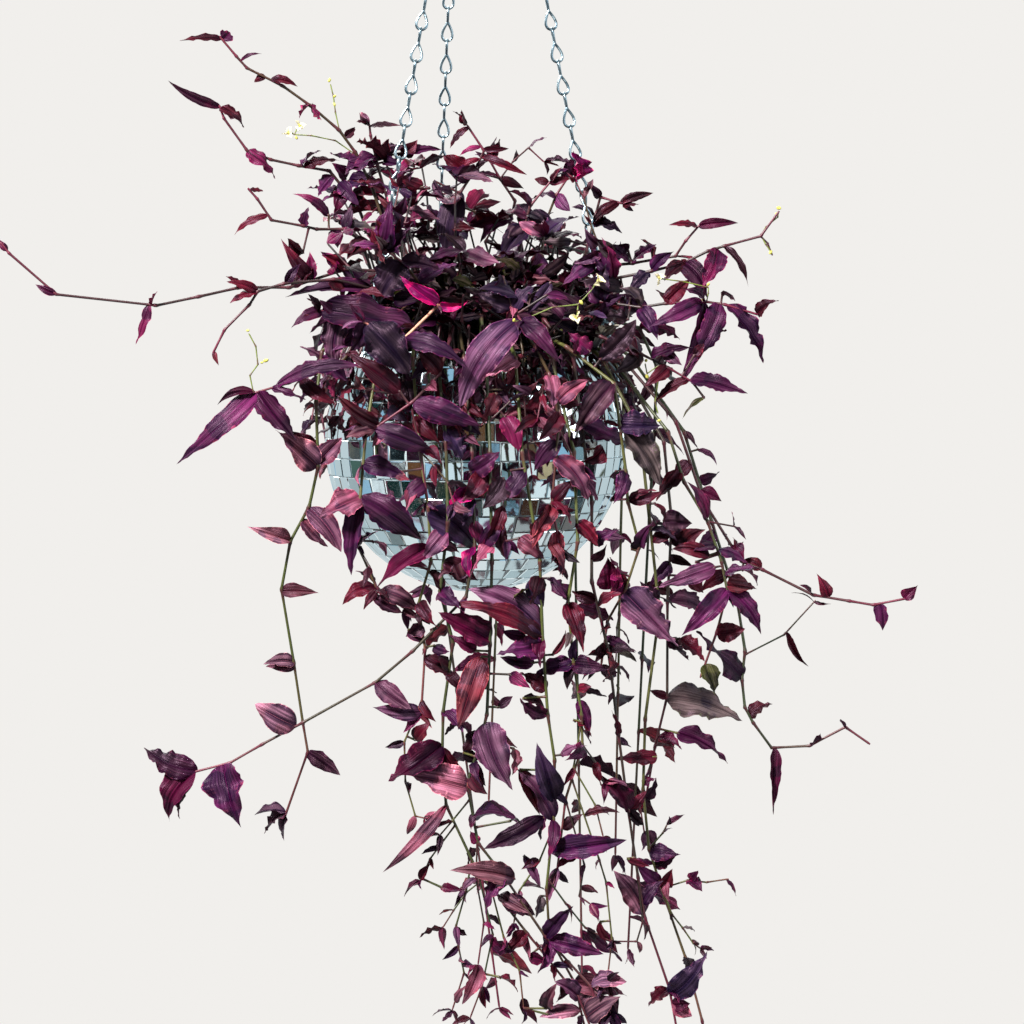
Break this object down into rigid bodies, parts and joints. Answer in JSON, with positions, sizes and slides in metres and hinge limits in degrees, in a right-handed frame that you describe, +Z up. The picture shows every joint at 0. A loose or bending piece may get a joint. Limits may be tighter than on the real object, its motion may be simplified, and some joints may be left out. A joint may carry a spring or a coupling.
{
  "type": "potted tradescantia in a hanging mirror-tiled ball planter",
  "caption": "Trailing purple tradescantia in a hanging ball pot covered in mirror tiles, on three jack chains that meet at a hanging ring.",
  "frame": {"origin": "top of the hanging ring's inside, where a ceiling hook carries it", "axes": "+Z up, -Y to the picture's front, +X to the front view's right"},
  "size_m": [0.5783, 0.3012, 0.939],
  "materials": {
    "purple_foliage": "satin leaf, deep purple with pink veins and stripes, olive and red stems",
    "mirror_tile": "small flat glass mirror tiles with pale grout lines",
    "pot_shell": "dark moulded bowl, bare inside and at the rim",
    "galvanised_steel": "bluish galvanised wire",
    "potting_soil": "dark crumbly potting soil"
  },
  "bodies": {
    "root": {"pot_shell": "pot_shell", "mirror_tiles": "mirror_tile", "soil": "potting_soil", "hanging_ring": "galvanised_steel", "eye_left": "galvanised_steel", "chain_left": "galvanised_steel", "eye_back": "galvanised_steel", "chain_back": "galvanised_steel", "eye_right": "galvanised_steel", "chain_right": "galvanised_steel", "stem_upper_left_long": "purple_foliage", "stem_upper_left_low": "purple_foliage", "stem_left_fork": "purple_foliage", "stem_far_left": "purple_foliage", "stem_left_second": "purple_foliage", "stem_left_star": "purple_foliage", "stem_top_left": "purple_foliage", "stem_top_centre": "purple_foliage", "stem_top_middle": "purple_foliage", "stem_top_heart": "purple_foliage", "stem_top_pair": "purple_foliage", "stem_top_right": "purple_foliage", "stem_right_upper": "purple_foliage", "stem_right_flower": "purple_foliage", "stem_right_main": "purple_foliage", "stem_right_low": "purple_foliage", "stem_front_left": "purple_foliage", "stem_front_high": "purple_foliage", "stem_front_magenta": "purple_foliage", "stem_front_low": "purple_foliage", "stem_front_big": "purple_foliage", "stem_front_pink": "purple_foliage", "stem_front_right": "purple_foliage", "stem_front_cluster": "purple_foliage", "stem_left_vertical": "purple_foliage", "stem_long_lower_left": "purple_foliage", "stem_trail_left": "purple_foliage", "stem_trail_lower_left": "purple_foliage", "stem_trail_centre": "purple_foliage", "stem_trail_middle": "purple_foliage", "stem_trail_star": "purple_foliage", "stem_trail_long": "purple_foliage", "stem_trail_right": "purple_foliage", "stem_right_grey": "purple_foliage", "stem_right_star": "purple_foliage", "stem_far_right": "purple_foliage", "stem_right_fork": "purple_foliage", "stem_back_right_long": "purple_foliage", "stem_back_right": "purple_foliage", "stem_back_middle_right": "purple_foliage", "stem_back_middle": "purple_foliage", "stem_back_middle_left": "purple_foliage", "stem_back_left": "purple_foliage", "stem_back_left_short": "purple_foliage", "stem_crown_back_right": "purple_foliage", "stem_crown_back": "purple_foliage", "stem_crown_back_left": "purple_foliage"}
  },
  "joints": []
}
